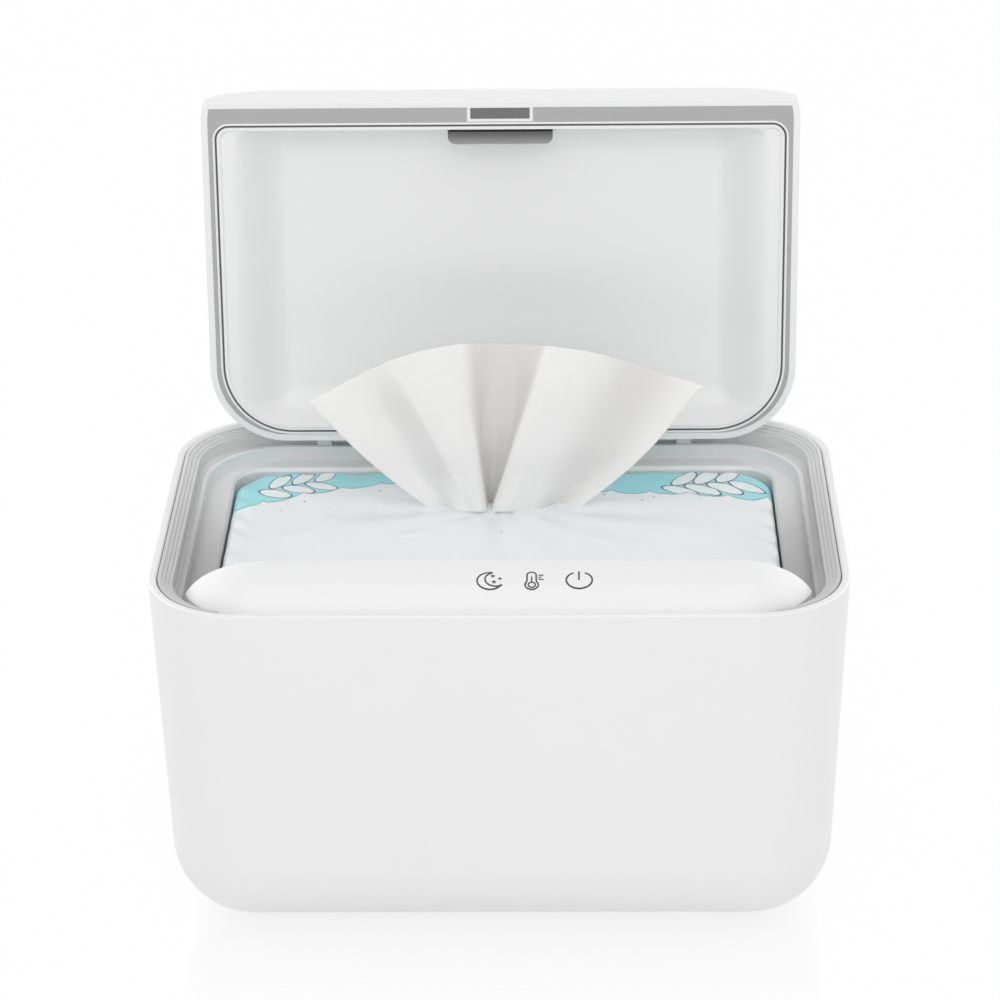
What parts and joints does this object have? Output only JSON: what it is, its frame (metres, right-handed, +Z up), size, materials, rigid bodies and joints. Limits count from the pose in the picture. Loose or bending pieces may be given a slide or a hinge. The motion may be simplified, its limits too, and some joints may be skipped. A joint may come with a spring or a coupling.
{
  "type": "baby wipe warmer",
  "caption": "Heated box for wet wipes: tapering tub with stepped light ring, inner tank, touch panel and hinged pillow lid with seal and magnetic catch, a wipe standing ready",
  "frame": {"origin": "on the table under the centre of the part's box with the lid open; the casing's own centre line lies 5.7 mm in front of it", "axes": "+X to the right seen from the front, +Y to the rear where the lid's hinge is, +Z up"},
  "size_m": [0.22, 0.1612, 0.2374],
  "materials": {
    "casing_white": "satin gloss",
    "underside_white": "fine matte",
    "screw_steel": "plain",
    "foot_rubber": "matte",
    "light_ring_plastic": "frosted",
    "board_green": "solder mask",
    "tank_grey": "satin",
    "magnet_metal": "plated",
    "plate_aluminium": "plain",
    "heater_film": "amber film",
    "insulation_felt": "felt",
    "sensor_black": "matte",
    "jack_black": "matte",
    "panel_white": "satin gloss",
    "pin_steel": "plain",
    "pack_film": "printed film",
    "wipe_fabric": "embossed nonwoven",
    "lid_white": "satin gloss",
    "liner_white": "satin",
    "trim_grey": "satin",
    "seal_white": "soft",
    "magnet_dark": "dark cover",
    "catch_grey": "satin"
  },
  "bodies": {
    "base": {"outer_casing": "casing_white", "bottom_cover": "underside_white", "cover_screws": "screw_steel", "foot_pad_front_left": "foot_rubber", "foot_pad_front_right": "foot_rubber", "foot_pad_rear_left": "foot_rubber", "foot_pad_rear_right": "foot_rubber", "light_ring": "light_ring_plastic", "light_boards": "board_green", "inner_tank": "tank_grey", "tank_screws": "screw_steel", "base_magnet": "magnet_metal", "heating_plate": "plate_aluminium", "heater_film": "heater_film", "insulation_pad": "insulation_felt", "temperature_sensor": "sensor_black", "thermal_fuse": "sensor_black", "main_board": "board_green", "board_pillars": "underside_white", "dc_jack": "jack_black", "control_panel": "panel_white", "touch_board": "board_green", "touch_board_carrier": "underside_white", "hinge_pin_left": "pin_steel", "hinge_pin_right": "pin_steel", "wipes_pack": "pack_film", "wipe": "wipe_fabric"},
    "lid": {"lid_shell": "lid_white", "lid_liner": "liner_white", "lid_trim": "trim_grey", "lid_seal": "seal_white", "magnet_frame": "liner_white", "lid_magnet": "magnet_dark", "magnet_holder": "catch_grey"}
  },
  "joints": [
    {"name": "lid_hinge", "type": "hinge", "parent": "base", "child": "lid", "pos_m": [0, 0.05942, 0.1191], "axis": [1, 0, 0], "range_deg": [0, 95.3], "deforming": ["wipe"]}
  ]
}
